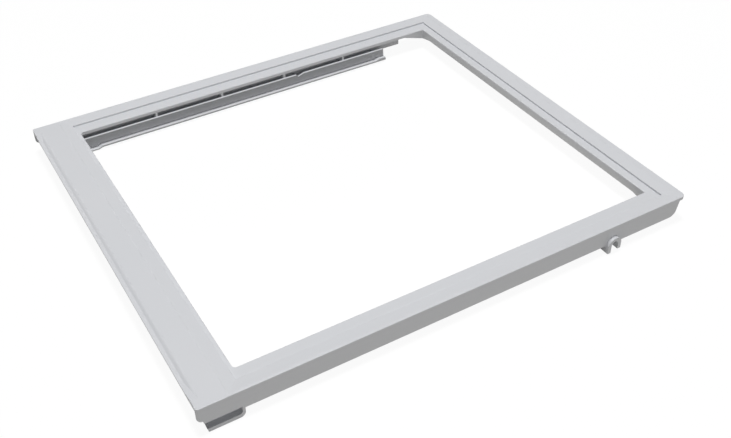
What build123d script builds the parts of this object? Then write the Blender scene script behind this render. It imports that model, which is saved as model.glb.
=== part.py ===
"""Crisper cover frame: the one-piece moulded frame over a refrigerator's crisper drawer.

Millimetres. The origin is under the middle of the plan, on the surface that the feet stand on.
+X is to the right seen from the front, +Y to the rear and +Z up. The wide bar is the front.
"""

import os

from build123d import *

# Plan of the deck
frame_width = 390.0
frame_depth = 443.5
rear_corner_radius = 5.0
front_corner_radius = 2.0
deck_edge_round = 0.6

# Widths of the bars, from the outer edge to the opening
side_bar = 24.25
front_bar = 37.9
rear_bar = 23.6
opening_corner_radius = 3.0
opening_edge_round = 0.8

# Widths of the raised border, from the outer edge to the glass recess
side_border = 12.5
front_border = 34.3
rear_border = 15.8
border_dish = 10.0
recess_edge_round = 0.3

# Heights above the feet
deck_top = 26.0
border_low = 24.8
ledge_top = 22.9
wall_bottom = 8.2
skirt_bottom = 13.0

# Thicknesses
deck_skin = 3.0
ledge_skin = 3.4
wall_skin = 2.5
rib_skin = 2.0
weld = 0.5

# Front edge of the deck: a thicker nose with a shallow S-shaped finger relief along its top
nose_depth = 11.0
nose_bottom = 22.2
nose_radius = 1.6
relief_width = 6.2
relief_flat = 2.2
relief_drop = 1.35
relief_half_length = 185.0
relief_ramp = 18.0

# Side wall: its ends, seen from the side
wall_front_step = 15.2
wall_front_radius = 4.0
wall_rear_gap = 1.0
wall_rear_lean = 2.4
wall_rear_radius = 7.0

# Front foot: a pocket that is open to the side and to the front
foot_depth = 7.0
foot_lip = 3.3
foot_wall = 2.0
foot_pocket_top = 10.0
foot_pocket_depth = 5.0
foot_front_bottom = -215.2
foot_rear = -187.3
foot_radius = 4.5

# Pin saddle: an inverted U that drops over a round support pin
saddle_y = 143.3
saddle_inner_radius = 3.5
saddle_band = 3.2
saddle_top = 15.4
saddle_front_leg_bottom = 1.3
saddle_rear_leg_bottom = 3.0
saddle_proud = 3.0
saddle_length = 12.0

# Drawer rail: a back wall under the ledge, and a leaning web with a lip for the drawer's rim.
# The web stops at a sill, so a row of windows is left between it and the ledge.
rail_back_face = 177.5
rail_sill_edge = 169.0
rail_sill_top = 15.2
rail_web_foot = 171.5
rail_lip_reach = 4.5
rail_lip_top = 4.3
rail_bottom = 2.7
rail_front = -208.3
rail_rear_top = 146.2
rail_rear_bottom = 148.6
rail_back_bottom = 6.5
rail_tail_bottom = 10.2
rail_tail_rear = 171.0

# Detent in the sill, lead-in at the lip's front end and stop at its rear end
detent_front = 41.5
detent_bottom = 44.2
detent_rear = 50.6
detent_depth = 2.6
lead_in_rear = -167.0
lead_in_top = 2.6
lead_in_bottom = 1.3
stop_front = 137.0
stop_top = 5.8
ramp = 4.0

# Cross ribs of the rails and of the two end bars
rail_rib_count = 4
rail_rib_pitch = 69.2
rail_rib_first = -109.6
rail_rib_width = 2.2
bar_rib_pitch = 65.0
bar_rib_count = 5
bar_rib_bottom = 16.5

# Walls round the underside of the end bars, and the gussets in the rear corners of the opening
front_skirt_y = -208.0
rear_skirt_y = 216.3
inner_wall_bottom = 15.2
gusset_bottom = 12.4
gusset_side = 24.0
gusset_rear = 13.0

# Places that follow from the values above
half_width = frame_width / 2
front_edge = -frame_depth / 2
rear_edge = frame_depth / 2
opening_width = frame_width - 2 * side_bar
opening_depth = frame_depth - front_bar - rear_bar
opening_y = (front_bar - rear_bar) / 2
opening_front = front_edge + front_bar
opening_rear = rear_edge - rear_bar
recess_width = frame_width - 2 * side_border
recess_depth = frame_depth - front_border - rear_border
recess_y = (front_border - rear_border) / 2
deck_bottom = deck_top - deck_skin
ledge_bottom = ledge_top - ledge_skin
wall_inner = half_width - wall_skin
rail_lip_edge = rail_web_foot - rail_lip_reach
saddle_outer_radius = saddle_inner_radius + saddle_band
saddle_centre = saddle_top - saddle_outer_radius
saddle_inner_end = half_width + saddle_proud - saddle_length
wall_rear = rear_edge - rear_corner_radius - wall_rear_gap
relief_low = deck_top - relief_drop
relief_front = front_edge + relief_flat
relief_rear = front_edge + relief_width
relief_middle = ((relief_front + relief_rear) / 2, (relief_low + deck_top) / 2)
wall_toe = front_edge + wall_front_radius
wall_heel = wall_front_step - wall_front_radius
foot_block_top = foot_pocket_top + rib_skin
pocket_rear = foot_rear - foot_wall
front_rib = opening_front - front_skirt_y
rear_rib = rear_skirt_y - opening_rear

with BuildPart() as cover_frame:
    # Right side wall with the outline of the front foot, seen from the side
    with BuildSketch(Plane.YZ.offset(half_width)):
        with BuildLine():
            Line((front_edge, deck_top), (front_edge, wall_front_step))
            RadiusArc((front_edge, wall_front_step), (wall_toe, wall_heel), -wall_front_radius)
            Polyline(
                (wall_toe, wall_heel),
                (foot_front_bottom, 0),
                (foot_rear - foot_radius, 0),
            )
            RadiusArc((foot_rear - foot_radius, 0), (foot_rear, foot_radius), -foot_radius)
            Polyline(
                (foot_rear, foot_radius),
                (foot_rear, wall_bottom),
                (wall_rear - wall_rear_lean - wall_rear_radius, wall_bottom),
            )
            RadiusArc(
                (wall_rear - wall_rear_lean - wall_rear_radius, wall_bottom),
                (wall_rear - wall_rear_lean, wall_bottom + wall_rear_radius),
                -wall_rear_radius,
            )
            Polyline(
                (wall_rear - wall_rear_lean, wall_bottom + wall_rear_radius),
                (wall_rear, deck_top),
                (front_edge, deck_top),
            )
        make_face()
    extrude(amount=-wall_skin)
    front_corner = cover_frame.edges().filter_by(Axis.Z).group_by(Axis.Y)[0].sort_by(Axis.X)[-1]
    fillet(front_corner, front_corner_radius)

    # Front foot: a thicker block behind the wall, hollowed from the outside
    with BuildSketch(Plane.YZ.offset(wall_inner + weld)):
        with BuildLine():
            Polyline(
                (foot_front_bottom - rib_skin, foot_block_top),
                (foot_front_bottom, 0),
                (foot_rear - foot_radius, 0),
            )
            RadiusArc((foot_rear - foot_radius, 0), (foot_rear, foot_radius), -foot_radius)
            Polyline(
                (foot_rear, foot_radius),
                (foot_rear, foot_block_top),
                (foot_front_bottom - rib_skin, foot_block_top),
            )
        make_face()
    extrude(amount=-(foot_depth - wall_skin + weld))
    with BuildSketch(Plane.YZ.offset(half_width)) as pocket:
        with Locations((front_edge, foot_lip)):
            Rectangle(pocket_rear - front_edge, foot_pocket_top - foot_lip, align=Align.MIN)
        fillet(pocket.vertices().group_by(Axis.Y)[0].sort_by(Axis.X)[-1], foot_radius - foot_wall)
    extrude(amount=-foot_pocket_depth, mode=Mode.SUBTRACT)

    # Pin saddle, standing proud of the wall and reaching in under it
    with BuildSketch(Plane.YZ.offset(half_width + saddle_proud)):
        with Locations((saddle_y, saddle_centre)):
            Circle(saddle_outer_radius)
            Rectangle(
                saddle_outer_radius,
                saddle_centre - saddle_front_leg_bottom,
                align=(Align.MAX, Align.MAX),
            )
            Rectangle(
                saddle_outer_radius,
                saddle_centre - saddle_rear_leg_bottom,
                align=(Align.MIN, Align.MAX),
            )
    extrude(amount=-saddle_length)
    with BuildSketch(Plane.YZ.offset(half_width + saddle_proud)):
        with Locations((saddle_y, saddle_centre)):
            Circle(saddle_inner_radius)
        with Locations((saddle_y, saddle_centre / 2)):
            Rectangle(2 * saddle_inner_radius, saddle_centre)
    extrude(amount=-saddle_length, mode=Mode.SUBTRACT)

    # Drawer rail: the back wall hangs from the ledge, and its shallower tail runs on past the web
    with BuildSketch(Plane.YZ.offset(rail_back_face)):
        with BuildLine():
            Polyline(
                (rail_front, ledge_top - weld),
                (rail_front, rail_back_bottom),
                (rail_rear_top, rail_back_bottom),
                (rail_rear_top, rail_tail_bottom),
                (rail_tail_rear, rail_tail_bottom),
                (rail_tail_rear, ledge_top - weld),
                close=True,
            )
        make_face()
    extrude(amount=rib_skin)
    with BuildSketch(Plane.XZ.offset(-rail_front)):
        with BuildLine():
            Polyline(
                (rail_sill_edge + rib_skin, rail_sill_top),
                (rail_sill_edge, rail_sill_top),
                (rail_web_foot, rail_lip_top),
                (rail_lip_edge, rail_lip_top),
                (rail_lip_edge, rail_bottom),
                (rail_web_foot + rib_skin, rail_bottom),
                close=True,
            )
        make_face()
    extrude(amount=rail_front - rail_rear_bottom)

    # Under the front bar the web goes up to the deck
    with BuildSketch(Plane.XZ.offset(-rail_front)):
        with Locations((rail_sill_edge, rail_sill_top - weld)):
            Rectangle(rib_skin, deck_bottom - rail_sill_top + 2 * weld, align=Align.MIN)
    extrude(amount=rail_front - opening_front)

    # Stop: the lip rises at its rear end
    with BuildSketch(Plane.YZ.offset(rail_web_foot + weld)):
        with BuildLine():
            Polyline(
                (stop_front, rail_bottom),
                (stop_front, rail_lip_top),
                (stop_front + ramp, stop_top),
                (rail_rear_bottom, stop_top),
                (rail_rear_bottom, rail_bottom),
                close=True,
            )
        make_face()
    extrude(amount=-(rail_lip_reach + weld))

    # Lead-in: the lip is set lower at its front end
    with BuildSketch(Plane.YZ.offset(rail_web_foot + rib_skin)):
        with BuildLine():
            Polyline(
                (rail_front, lead_in_bottom),
                (lead_in_rear - ramp, lead_in_bottom),
                (lead_in_rear, rail_bottom),
                (lead_in_rear, rail_lip_top),
                (rail_front, rail_lip_top),
                close=True,
            )
        make_face()
    extrude(amount=-(rib_skin + rail_lip_reach))
    with BuildSketch(Plane.YZ.offset(rail_web_foot)):
        with BuildLine():
            Polyline(
                (rail_front, rail_lip_top),
                (rail_front, lead_in_top),
                (lead_in_rear - ramp, lead_in_top),
                (lead_in_rear, rail_lip_top),
                close=True,
            )
        make_face()
    extrude(amount=-rail_lip_reach, mode=Mode.SUBTRACT)

    # Slanted rear end, and the detent in the sill
    with BuildSketch(Plane.YZ.offset(rail_back_face)):
        with BuildLine():
            Polyline(
                (rail_rear_top, rail_sill_top),
                (rail_rear_bottom, rail_bottom),
                (rail_rear_bottom, rail_sill_top),
                close=True,
            )
        make_face()
        with BuildLine():
            Polyline(
                (detent_front, rail_sill_top),
                (detent_bottom, rail_sill_top - detent_depth),
                (detent_rear, rail_sill_top),
                close=True,
            )
        make_face()
    extrude(amount=-(rail_back_face - rail_lip_edge), mode=Mode.SUBTRACT)

    # Cross ribs part the windows and tie the rail to the ledge and to the side wall
    for index in range(rail_rib_count):
        rib_front = rail_rib_first + index * rail_rib_pitch - rail_rib_width / 2
        with BuildSketch(Plane.XZ.offset(-rib_front)):
            with BuildLine():
                Polyline(
                    (opening_width / 2, rail_sill_top - weld),
                    (opening_width / 2, ledge_bottom + weld),
                    (wall_inner + weld, ledge_bottom + weld),
                    (wall_inner + weld, wall_bottom + rib_skin),
                    (rail_web_foot + rib_skin, rail_bottom + rib_skin),
                    (rail_web_foot + rib_skin - weld, rail_bottom + rib_skin),
                    (rail_sill_edge + rib_skin - weld, rail_sill_top - weld),
                    close=True,
                )
            make_face()
        extrude(amount=-rail_rib_width)

    # A low rib ties the rail's rear end to the front leg of the pin saddle
    with BuildSketch(Plane.XZ.offset(saddle_outer_radius - saddle_y)):
        with Locations((rail_web_foot, rail_bottom + rib_skin)):
            Rectangle(
                saddle_inner_end + weld - rail_web_foot,
                rail_tail_bottom - rail_bottom - rib_skin,
                align=Align.MIN,
            )
    extrude(amount=-rail_rib_width)

    # Gusset in the rear corner of the opening: it tapers away along the side and the rear
    with BuildSketch(Plane.YZ.offset(opening_width / 2)):
        with BuildLine():
            Polyline(
                (opening_rear + rib_skin, ledge_bottom + weld),
                (opening_rear + rib_skin, gusset_bottom),
                (opening_rear, gusset_bottom),
                (opening_rear - gusset_side, ledge_bottom),
                (opening_rear - gusset_side, ledge_bottom + weld),
                close=True,
            )
        make_face()
    extrude(amount=rib_skin)
    with BuildSketch(Plane.XZ.offset(-opening_rear)):
        with BuildLine():
            Polyline(
                (opening_width / 2 + weld, ledge_bottom + weld),
                (opening_width / 2 + weld, gusset_bottom),
                (opening_width / 2, gusset_bottom),
                (opening_width / 2 - gusset_rear, inner_wall_bottom),
                (opening_width / 2 - gusset_rear, ledge_bottom + weld),
                close=True,
            )
        make_face()
    extrude(amount=-rib_skin)

    # The left side is the right side's mirror image
    mirror(about=Plane.YZ)

    # Raised border of the deck
    with BuildSketch(Plane.XY.offset(deck_top)) as deck:
        Rectangle(frame_width, frame_depth)
        fillet(deck.vertices().group_by(Axis.Y)[-1], rear_corner_radius)
        fillet(deck.vertices().group_by(Axis.Y)[0], front_corner_radius)
        with Locations((0, recess_y)):
            Rectangle(recess_width, recess_depth, mode=Mode.SUBTRACT)
    extrude(amount=-deck_skin)

    # Step down into the glass recess, and the ledge round the opening that the glass lies on
    with BuildSketch(Plane.XY.offset(deck_top)):
        with Locations((0, recess_y)):
            Rectangle(recess_width + 2 * deck_skin, recess_depth + 2 * deck_skin)
            Rectangle(recess_width, recess_depth, mode=Mode.SUBTRACT)
    extrude(amount=ledge_bottom - deck_top)
    with BuildSketch(Plane.XY.offset(ledge_top)):
        with Locations((0, recess_y)):
            Rectangle(recess_width + 2 * deck_skin, recess_depth + 2 * deck_skin)
        with BuildSketch(mode=Mode.SUBTRACT) as opening:
            with Locations((0, opening_y)):
                Rectangle(opening_width, opening_depth)
            fillet(opening.vertices().group_by(Axis.Y)[0], opening_corner_radius)
    extrude(amount=-ledge_skin)

    # Nose under the front edge
    with BuildSketch(Plane.YZ) as nose:
        with Locations((front_edge, nose_bottom)):
            Rectangle(nose_depth, deck_top - weld - nose_bottom, align=Align.MIN)
        fillet(nose.vertices().group_by(Axis.Y)[0].sort_by(Axis.X)[0], nose_radius)
    extrude(amount=half_width - front_corner_radius, both=True)

    # Skirts under the front and rear bars
    with BuildSketch(Plane.XY.offset(deck_top - weld)):
        with Locations((0, front_skirt_y - wall_skin / 2), (0, rear_skirt_y - wall_skin / 2)):
            Rectangle(2 * wall_inner + weld, wall_skin)
    extrude(amount=skirt_bottom - deck_top + weld)

    # Inner walls along the front and rear edges of the opening
    with BuildSketch(Plane.XY.offset(ledge_top - weld)):
        with Locations((0, opening_front - rib_skin / 2), (0, opening_rear + rib_skin / 2)):
            Rectangle(opening_width + 2 * rib_skin, rib_skin)
    extrude(amount=inner_wall_bottom - ledge_top + weld)

    # Cross ribs under the front and rear bars
    with BuildSketch(Plane.XY.offset(deck_top - weld)):
        with Locations((0, opening_front - front_rib / 2)):
            with GridLocations(bar_rib_pitch, 0, bar_rib_count, 1):
                Rectangle(rib_skin, front_rib - rib_skin)
        with Locations((0, opening_rear + rear_rib / 2)):
            with GridLocations(bar_rib_pitch, 0, bar_rib_count, 1):
                Rectangle(rib_skin, rear_rib - rib_skin)
    extrude(amount=bar_rib_bottom - deck_top + weld)

    # The glass recess is clear of the ribs that reach up into the bars
    with BuildSketch(Plane.XY.offset(ledge_top)):
        with Locations((0, recess_y)):
            Rectangle(recess_width, recess_depth)
    extrude(amount=deck_top - ledge_top, mode=Mode.SUBTRACT)

    # The border slopes down towards the recess, so that spills run in
    with BuildSketch(Plane.XY.offset(border_low)):
        with Locations((0, recess_y)):
            Rectangle(recess_width, recess_depth)
    with BuildSketch(Plane.XY.offset(deck_top)):
        with Locations((0, recess_y)):
            Rectangle(recess_width + 2 * border_dish, recess_depth + 2 * border_dish)
    loft(mode=Mode.SUBTRACT)

    # Soft edges: round the deck, the glass recess and the opening
    top = cover_frame.faces().sort_by(Axis.Z)[-1]
    fillet(top.outer_wire().edges(), deck_edge_round)
    fillet(cover_frame.edges().filter_by_position(Axis.Z, border_low, border_low), recess_edge_round)
    rim = cover_frame.edges().filter_by_position(Axis.Z, ledge_top, ledge_top)
    rim = rim.filter_by_position(Axis.X, -opening_width / 2 - weld, opening_width / 2 + weld)
    rim = rim.filter_by_position(Axis.Y, opening_front - weld, opening_rear + weld)
    fillet(rim, opening_edge_round)

    # Finger relief along the front edge, which runs out at both ends
    with BuildPart(mode=Mode.PRIVATE) as relief:
        with BuildSketch(Plane.YZ):
            with BuildLine():
                TangentArc((relief_front, relief_low), relief_middle, tangent=(1, 0))
                TangentArc((relief_rear, deck_top), relief_middle, tangent=(-1, 0))
                Polyline(
                    (relief_rear, deck_top),
                    (relief_rear, deck_top + weld),
                    (front_edge - weld, deck_top + weld),
                    (front_edge - weld, relief_low),
                    (relief_front, relief_low),
                )
            make_face()
        extrude(amount=relief_half_length, both=True)
        with BuildSketch(Plane.XZ.offset(-front_edge)):
            with BuildLine():
                Polyline(
                    (-relief_half_length, deck_top),
                    (relief_ramp - relief_half_length, relief_low),
                    (relief_half_length - relief_ramp, relief_low),
                    (relief_half_length, deck_top),
                    (relief_half_length, deck_top + weld),
                    (-relief_half_length, deck_top + weld),
                    close=True,
                )
            make_face()
        extrude(amount=relief_width + weld, both=True, mode=Mode.INTERSECT)
    add(relief.part, mode=Mode.SUBTRACT)

cover_frame.part.label = "cover_frame"
os.makedirs("parts", exist_ok=True)
export_step(cover_frame.part, "parts/cover_frame.step")
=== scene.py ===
"""Crisper cover frame: the finish of the one-piece moulded frame, and a plain studio round it."""

import math

import bpy
from bpy.props import FloatProperty, FloatVectorProperty, PointerProperty
from mathutils import Matrix, Vector


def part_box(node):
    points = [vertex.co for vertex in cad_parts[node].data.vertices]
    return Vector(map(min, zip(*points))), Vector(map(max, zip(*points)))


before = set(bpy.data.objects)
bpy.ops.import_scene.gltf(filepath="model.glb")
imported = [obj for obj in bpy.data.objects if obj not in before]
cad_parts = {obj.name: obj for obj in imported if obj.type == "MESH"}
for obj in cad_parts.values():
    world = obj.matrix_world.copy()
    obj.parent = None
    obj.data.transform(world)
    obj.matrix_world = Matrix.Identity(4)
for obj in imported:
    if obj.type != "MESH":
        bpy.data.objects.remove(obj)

bl_info = {
    "name": "Crisper Cover Frame",
    "version": (1, 0, 0),
    "blender": (4, 5, 0),
    "location": "3D View > Sidebar > Crisper",
    "description": "Dresses a moulded crisper cover frame and sets a plain studio round it",
    "category": "Object",
}

FRAME_NODE = "cover_frame"
MILLIMETRE = 0.001
POLYSTYRENE_IOR = 1.59
WHITE = (1, 1, 1, 1)
FRAME_LOW, FRAME_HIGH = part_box(FRAME_NODE)
FRAME_CENTRE = (FRAME_LOW + FRAME_HIGH) / 2
FRAME_FOOT = Vector((FRAME_CENTRE.x, FRAME_CENTRE.y, FRAME_LOW.z))
FRAME_LENGTH = (FRAME_HIGH - FRAME_LOW).y


def linear(hex_colour):
    """Turns an sRGB hex value, such as 'D5D6D9', to linear red, green and blue."""
    channels = [int(hex_colour[i:i + 2], 16) / 255 for i in (0, 2, 4)]
    return [c / 12.92 if c <= 0.04045 else ((c + 0.055) / 1.055) ** 2.4 for c in channels]


def per_metre(size_mm):
    """The pattern scale, in repeats for each metre, of a feature that is size_mm across."""
    return 1 / (size_mm * MILLIMETRE)


def add_node(tree, kind, inputs=None, **settings):
    """Adds a node, sets its settings, and gives each named input a value or a link from a socket."""
    node = tree.nodes.new(kind)
    for name, value in settings.items():
        setattr(node, name, value)
    for name, value in (inputs or {}).items():
        if isinstance(value, bpy.types.NodeSocket):
            tree.links.new(value, node.inputs[name])
        else:
            node.inputs[name].default_value = value
    return node


def new_material(name):
    """A material and its node tree, which is still empty."""
    material = bpy.data.materials.new(name)
    material.use_nodes = True
    material.node_tree.nodes.clear()
    return material, material.node_tree


class CrisperFinish(bpy.types.PropertyGroup):
    """The moulded plastic's colour and surface."""

    pale: FloatVectorProperty(
        name="Plastic", description="Main colour of the moulded plastic",
        subtype="COLOR", default=linear("D5D6D9"), min=0, max=1,
    )
    cool: FloatVectorProperty(
        name="Cool drift", description="Slightly cooler tone where the melt cooled slowly",
        subtype="COLOR", default=linear("D0D2D6"), min=0, max=1,
    )
    drift_mm: FloatProperty(
        name="Drift size", description="Size of the slow change of tone, in millimetres",
        default=90.0, min=5.0,
    )
    grain_mm: FloatProperty(
        name="Grain size", description="Size of the mould's satin texture, in millimetres",
        default=0.9, min=0.1,
    )
    grain_depth: FloatProperty(
        name="Grain depth", description="Depth of the mould's satin texture",
        unit="LENGTH", subtype="DISTANCE", default=0.000012, min=0, precision=6,
    )
    least_rough: FloatProperty(
        name="Least roughness", description="Roughness in the hollows of the satin texture",
        subtype="FACTOR", default=0.40, min=0, max=1,
    )
    most_rough: FloatProperty(
        name="Most roughness", description="Roughness on the tops of the satin texture",
        subtype="FACTOR", default=0.52, min=0, max=1,
    )


class CrisperStage(bpy.types.PropertyGroup):
    """The camera, the lights, the floor and the card in the opening."""

    eye: FloatVectorProperty(
        name="Camera position", description="Where the camera stands",
        subtype="TRANSLATION", unit="LENGTH", default=(0.6023, -0.3274, 0.5159),
    )
    azimuth: FloatProperty(
        name="Azimuth", description="Direction that the camera looks from, turned from the front",
        subtype="ANGLE", default=math.radians(59.802),
    )
    elevation: FloatProperty(
        name="Elevation", description="Angle that the camera looks down by",
        subtype="ANGLE", default=math.radians(39.106),
    )
    roll: FloatProperty(
        name="Roll", description="Tilt of the camera about its own axis",
        subtype="ANGLE", default=math.radians(-0.808),
    )
    lens: FloatProperty(
        name="Lens", description="Focal length on a sensor 36 mm wide, in millimetres",
        default=46.72, min=1.0,
    )
    top_light: FloatProperty(
        name="Top light", description="Power of the lamp overhead",
        unit="POWER", default=40.5, min=0,
    )
    top_place: FloatVectorProperty(
        name="Top light place", description="Where the lamp hangs, from the frame's centre",
        subtype="TRANSLATION", unit="LENGTH", default=(0.08, -0.08, 2.2),
    )
    top_size: FloatProperty(
        name="Top light size", description="Side of the square lamp overhead",
        unit="LENGTH", subtype="DISTANCE", default=0.35, min=0,
    )
    side_light: FloatProperty(
        name="Side light", description="Power of the weak low lamp off to the right",
        unit="POWER", default=5.0, min=0,
    )
    side_place: FloatVectorProperty(
        name="Side light place", description="Where the side lamp stands, from the frame's centre",
        subtype="TRANSLATION", unit="LENGTH", default=(2.3, -0.2, 0.35),
    )
    side_size: FloatProperty(
        name="Side light size", description="Side of the square side lamp",
        unit="LENGTH", subtype="DISTANCE", default=0.5, min=0,
    )
    room_light: FloatProperty(
        name="Room light", description="Strength of the even light from all round",
        default=0.06, min=0,
    )
    floor_reach: FloatProperty(
        name="Floor reach", description="How far the floor goes each way, in lengths of the frame",
        default=20.0, min=1.0,
    )
    floor_drop: FloatProperty(
        name="Floor drop", description="How far the floor is below the feet, so that the faces don't meet",
        unit="LENGTH", subtype="DISTANCE", default=0.0001, min=0, precision=4,
    )
    floor_colour: FloatVectorProperty(
        name="Floor", description="Colour of the floor and of the card as they light the object",
        subtype="COLOR", default=linear("D8D6D2"), min=0, max=1,
    )
    floor_glow: FloatProperty(
        name="Floor white", description="White of the floor that the shadow can't darken",
        subtype="FACTOR", default=0.94, min=0, max=1,
    )
    floor_shade: FloatProperty(
        name="Floor shade", description="White of the floor that the shadow takes away",
        subtype="FACTOR", default=0.07, min=0, max=1,
    )
    # Painted shade: a dark patch in the floor's colour, seen only in the light the floor throws back, keeps
    # the far rail in shade
    painted_shade_colour: FloatVectorProperty(
        name="Dark patch", description="Colour of the soft patch that keeps the far rail in the shade",
        subtype="COLOR", default=linear("404040"), min=0, max=1,
    )
    patch_place: FloatVectorProperty(
        name="Dark patch place", description="Middle of the soft patch, from under the frame's centre",
        subtype="TRANSLATION", unit="LENGTH", default=(-0.095, -0.02, 0),
    )
    patch_size: FloatVectorProperty(
        name="Dark patch size",
        description="Half width and half length of the soft patch; the third value plays no part on a floor",
        subtype="XYZ_LENGTH", unit="LENGTH", default=(0.2, 0.25, 1),
    )
    patch_fade: FloatProperty(
        name="Dark patch fade", description="Share of the soft patch's radius that its edge fades over",
        subtype="FACTOR", default=0.3, min=0.01, max=1,
    )
    patch_inset: FloatProperty(
        name="Dark patch inset",
        description="From the frame's left side to the edge of the soft patch, a little past the far lip",
        unit="LENGTH", subtype="DISTANCE", default=0.035, min=0, precision=4,
    )
    card_side_gap: FloatProperty(
        name="Card side gap", description="From each side of the frame to the white card in the opening",
        unit="LENGTH", subtype="DISTANCE", default=0.033, min=0, precision=4,
    )
    card_front_gap: FloatProperty(
        name="Card front gap", description="From the front of the frame to the white card",
        unit="LENGTH", subtype="DISTANCE", default=0.04175, min=0, precision=5,
    )
    card_rear_gap: FloatProperty(
        name="Card rear gap", description="From the rear of the frame to the white card",
        unit="LENGTH", subtype="DISTANCE", default=0.02675, min=0, precision=5,
    )
    card_height: FloatProperty(
        name="Card height", description="Height of the white card above the feet",
        unit="LENGTH", subtype="DISTANCE", default=0.0135, min=0, precision=4,
    )


def moulded_polystyrene(finish):
    """High-impact polystyrene from a satin-etched mould.

    To the eye it is a pale, slightly cool grey with a soft broad sheen, almost no grain at arm's
    length, and a slow drift of tone where the melt flowed and cooled.
    """
    material, tree = new_material("moulded_polystyrene")
    place = add_node(tree, "ShaderNodeTexCoord").outputs["Object"]
    drift = add_node(
        tree, "ShaderNodeTexNoise",
        {"Vector": place, "Scale": per_metre(finish.drift_mm), "Detail": 2.0},
    )
    tone = add_node(
        tree, "ShaderNodeMix",
        {"Factor": drift.outputs["Fac"], "A": (*finish.pale, 1), "B": (*finish.cool, 1)},
        data_type="RGBA",
    )
    grain = add_node(
        tree, "ShaderNodeTexNoise",
        {"Vector": place, "Scale": per_metre(finish.grain_mm), "Detail": 3.0, "Roughness": 0.6},
    )
    sheen = add_node(
        tree, "ShaderNodeMapRange",
        {"Value": grain.outputs["Fac"], "To Min": finish.least_rough, "To Max": finish.most_rough},
    )
    bump = add_node(
        tree, "ShaderNodeBump",
        {"Height": grain.outputs["Fac"], "Distance": finish.grain_depth, "Strength": 1.0},
    )
    plastic = add_node(
        tree, "ShaderNodeBsdfPrincipled",
        {
            "Base Color": tone.outputs["Result"],
            "Roughness": sheen.outputs["Result"],
            "Normal": bump.outputs["Normal"],
            "IOR": POLYSTYRENE_IOR,
        },
    )
    add_node(tree, "ShaderNodeOutputMaterial", {"Surface": plastic.outputs["BSDF"]})
    return material


class CRISPER_OT_dress_frame(bpy.types.Operator):
    """Gives the moulded frame its satin plastic"""

    bl_idname = "crisper.dress_frame"
    bl_label = "Dress frame"

    def execute(self, context):
        finish = context.scene.crisper_finish
        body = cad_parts[FRAME_NODE]
        body.data.materials.clear()
        body.data.materials.append(moulded_polystyrene(finish))
        return {"FINISHED"}


def seen_directly(tree):
    """A socket that is 1 for what the camera sees straight, in a gloss or through clear material."""
    path = add_node(tree, "ShaderNodeLightPath")
    seen = path.outputs["Is Camera Ray"]
    for ray in ("Is Glossy Ray", "Is Transmission Ray"):
        either = add_node(tree, "ShaderNodeMath", {0: seen, 1: path.outputs[ray]}, operation="MAXIMUM")
        seen = either.outputs["Value"]
    return seen


def white_room(stage):
    """Surroundings that look white and give the object only a little even light."""
    world = bpy.data.worlds.new("white_room")
    world.use_nodes = True
    tree = world.node_tree
    tree.nodes.clear()
    dim = add_node(tree, "ShaderNodeBackground", {"Color": WHITE, "Strength": stage.room_light})
    white = add_node(tree, "ShaderNodeBackground", {"Color": WHITE, "Strength": 1.0})
    mix = add_node(
        tree, "ShaderNodeMixShader",
        {0: seen_directly(tree), 1: dim.outputs["Background"], 2: white.outputs["Background"]},
    )
    add_node(tree, "ShaderNodeOutputWorld", {"Surface": mix.outputs["Shader"]})
    return world


def matt_studio_floor(stage):
    """Matt white paper that lights the walls from below, with a soft dark patch of painted shade by the far
    rail.

    Where the floor is seen it is white, and the object's shadow on it is faint.
    """
    material, tree = new_material("matt_studio_floor")
    place = add_node(tree, "ShaderNodeTexCoord").outputs["Object"]
    # Painted shade: a soft dark patch in the floor's colour by the far rail, only in the light thrown back
    # onto the object
    patch = add_node(
        tree, "ShaderNodeMapping",
        {"Vector": place, "Location": FRAME_FOOT + stage.patch_place, "Scale": stage.patch_size},
        vector_type="TEXTURE",
    )
    middle = add_node(
        tree, "ShaderNodeTexGradient", {"Vector": patch.outputs["Vector"]}, gradient_type="SPHERICAL",
    )
    depth = add_node(
        tree, "ShaderNodeMapRange", {"Value": middle.outputs["Fac"], "From Max": stage.patch_fade},
    )
    across = add_node(tree, "ShaderNodeSeparateXYZ", {"Vector": place}).outputs["X"]
    edge = FRAME_LOW.x + stage.patch_inset
    inside = add_node(tree, "ShaderNodeMath", {0: across, 1: edge}, operation="GREATER_THAN")
    dark = add_node(
        tree, "ShaderNodeMath",
        {0: depth.outputs["Result"], 1: inside.outputs["Value"]},
        operation="MULTIPLY",
    )
    tone = add_node(
        tree, "ShaderNodeMix",
        {"Factor": dark.outputs["Value"], "A": (*stage.floor_colour, 1), "B": (*stage.painted_shade_colour, 1)},
        data_type="RGBA",
    )
    paper = add_node(tree, "ShaderNodeBsdfDiffuse", {"Color": tone.outputs["Result"]})
    grey = (stage.floor_shade,) * 3
    shade = add_node(tree, "ShaderNodeBsdfDiffuse", {"Color": (*grey, 1)})
    glow = add_node(tree, "ShaderNodeEmission", {"Color": WHITE, "Strength": stage.floor_glow})
    white = add_node(tree, "ShaderNodeAddShader", {0: shade.outputs["BSDF"], 1: glow.outputs["Emission"]})
    mix = add_node(
        tree, "ShaderNodeMixShader",
        {0: seen_directly(tree), 1: paper.outputs["BSDF"], 2: white.outputs["Shader"]},
    )
    add_node(tree, "ShaderNodeOutputMaterial", {"Surface": mix.outputs["Shader"]})
    return material


def matt_white_card(stage):
    """Reflector card: matt white, never seen itself, and there to light the edge of the ledge."""
    material, tree = new_material("matt_white_card")
    matt = add_node(tree, "ShaderNodeBsdfDiffuse", {"Color": (*stage.floor_colour, 1)})
    add_node(tree, "ShaderNodeOutputMaterial", {"Surface": matt.outputs["BSDF"]})
    return material


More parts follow.
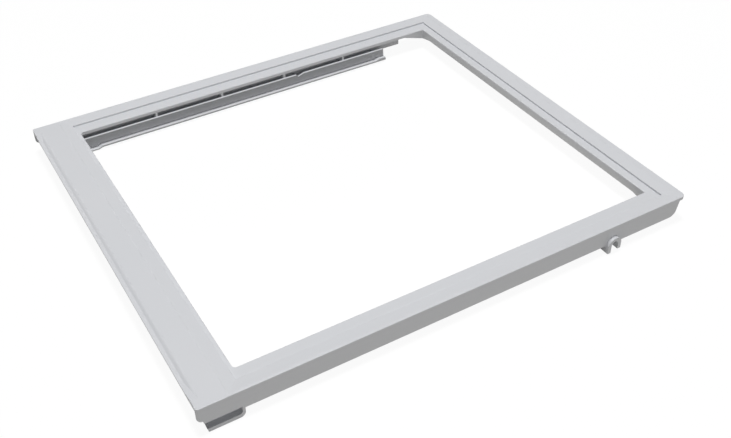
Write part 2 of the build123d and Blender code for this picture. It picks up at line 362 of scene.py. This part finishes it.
def add_sheet(scene, name, low, high, material):
    """A level rectangular sheet of the stage between two opposite corners, at the low one's height."""
    corners = ((low.x, low.y), (high.x, low.y), (high.x, high.y), (low.x, high.y))
    mesh = bpy.data.meshes.new(name)
    mesh.from_pydata([(x, y, low.z) for x, y in corners], [], [(0, 1, 2, 3)])
    mesh.materials.append(material)
    sheet = bpy.data.objects.new(name, mesh)
    scene.collection.objects.link(sheet)
    return sheet


def add_softbox(scene, name, offset, size, power):
    """A square soft lamp at an offset from the frame's centre, turned to it and not seen itself."""
    lamp = bpy.data.objects.new(name, bpy.data.lights.new(name, "AREA"))
    lamp.data.shape = "SQUARE"
    lamp.data.size = size
    lamp.data.energy = power
    lamp.location = FRAME_CENTRE + Vector(offset)
    lamp.rotation_euler = Vector(offset).to_track_quat("Z", "Y").to_euler()
    lamp.visible_camera = False
    scene.collection.objects.link(lamp)


def camera_matrix(stage):
    """The camera's place, from its position, azimuth, elevation and roll."""
    azimuth = stage.azimuth
    elevation = stage.elevation
    back = Vector((
        math.sin(azimuth) * math.cos(elevation),
        -math.cos(azimuth) * math.cos(elevation),
        math.sin(elevation),
    ))
    level = Vector((math.cos(azimuth), math.sin(azimuth), 0))
    upright = back.cross(level)
    turned = Matrix((level, upright, back)).transposed().to_4x4()
    return Matrix.Translation(stage.eye) @ turned @ Matrix.Rotation(stage.roll, 4, "Z")


class CRISPER_OT_set_stage(bpy.types.Operator):
    """Sets the camera, the lamps, the pale floor, the hidden card and the white surroundings"""

    bl_idname = "crisper.set_stage"
    bl_label = "Set stage"

    def execute(self, context):
        scene = context.scene
        stage = scene.crisper_stage
        scene.view_settings.view_transform = "Standard"
        scene.world = white_room(stage)

        camera = bpy.data.objects.new("photo_camera", bpy.data.cameras.new("photo_camera"))
        camera.data.lens = stage.lens
        camera.matrix_world = camera_matrix(stage)
        scene.collection.objects.link(camera)
        scene.camera = camera

        add_softbox(scene, "top_softbox", stage.top_place, stage.top_size, stage.top_light)
        add_softbox(scene, "side_softbox", stage.side_place, stage.side_size, stage.side_light)

        reach = stage.floor_reach * FRAME_LENGTH
        floor_low = FRAME_FOOT + Vector((-reach, -reach, -stage.floor_drop))
        floor_high = FRAME_FOOT + Vector((reach, reach, -stage.floor_drop))
        add_sheet(scene, "floor", floor_low, floor_high, matt_studio_floor(stage))

        # The card only throws matt light back: no camera, gloss, clear material or shadow shows it
        card_low = FRAME_LOW + Vector((stage.card_side_gap, stage.card_front_gap, stage.card_height))
        card_high = FRAME_HIGH - Vector((stage.card_side_gap, stage.card_rear_gap, 0))
        card = add_sheet(scene, "white_card", card_low, card_high, matt_white_card(stage))
        card.visible_camera = False
        card.visible_glossy = False
        card.visible_transmission = False
        card.visible_shadow = False
        return {"FINISHED"}


class CRISPER_PT_panel(bpy.types.Panel):
    """Lists the steps and their settings in the sidebar"""

    bl_label = "Crisper cover frame"
    bl_idname = "CRISPER_PT_panel"
    bl_space_type = "VIEW_3D"
    bl_region_type = "UI"
    bl_category = "Crisper"

    def draw(self, context):
        for settings in (context.scene.crisper_finish, context.scene.crisper_stage):
            box = self.layout.box()
            for name in settings.__annotations__:
                box.prop(settings, name)
        for operator in OPERATORS:
            self.layout.operator(operator.bl_idname)


OPERATORS = (CRISPER_OT_dress_frame, CRISPER_OT_set_stage)
CLASSES = (CrisperFinish, CrisperStage, *OPERATORS, CRISPER_PT_panel)


def register():
    """Makes the settings, the steps and the panel known to Blender."""
    for cls in CLASSES:
        bpy.utils.register_class(cls)
    bpy.types.Scene.crisper_finish = PointerProperty(type=CrisperFinish)
    bpy.types.Scene.crisper_stage = PointerProperty(type=CrisperStage)


def unregister():
    """Takes the settings, the steps and the panel out again."""
    del bpy.types.Scene.crisper_stage
    del bpy.types.Scene.crisper_finish
    for cls in reversed(CLASSES):
        bpy.utils.unregister_class(cls)


def main():
    """Dresses the frame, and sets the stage."""
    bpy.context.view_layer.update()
    register()
    bpy.ops.crisper.dress_frame()
    bpy.ops.crisper.set_stage()


if __name__ == "__main__":
    main()
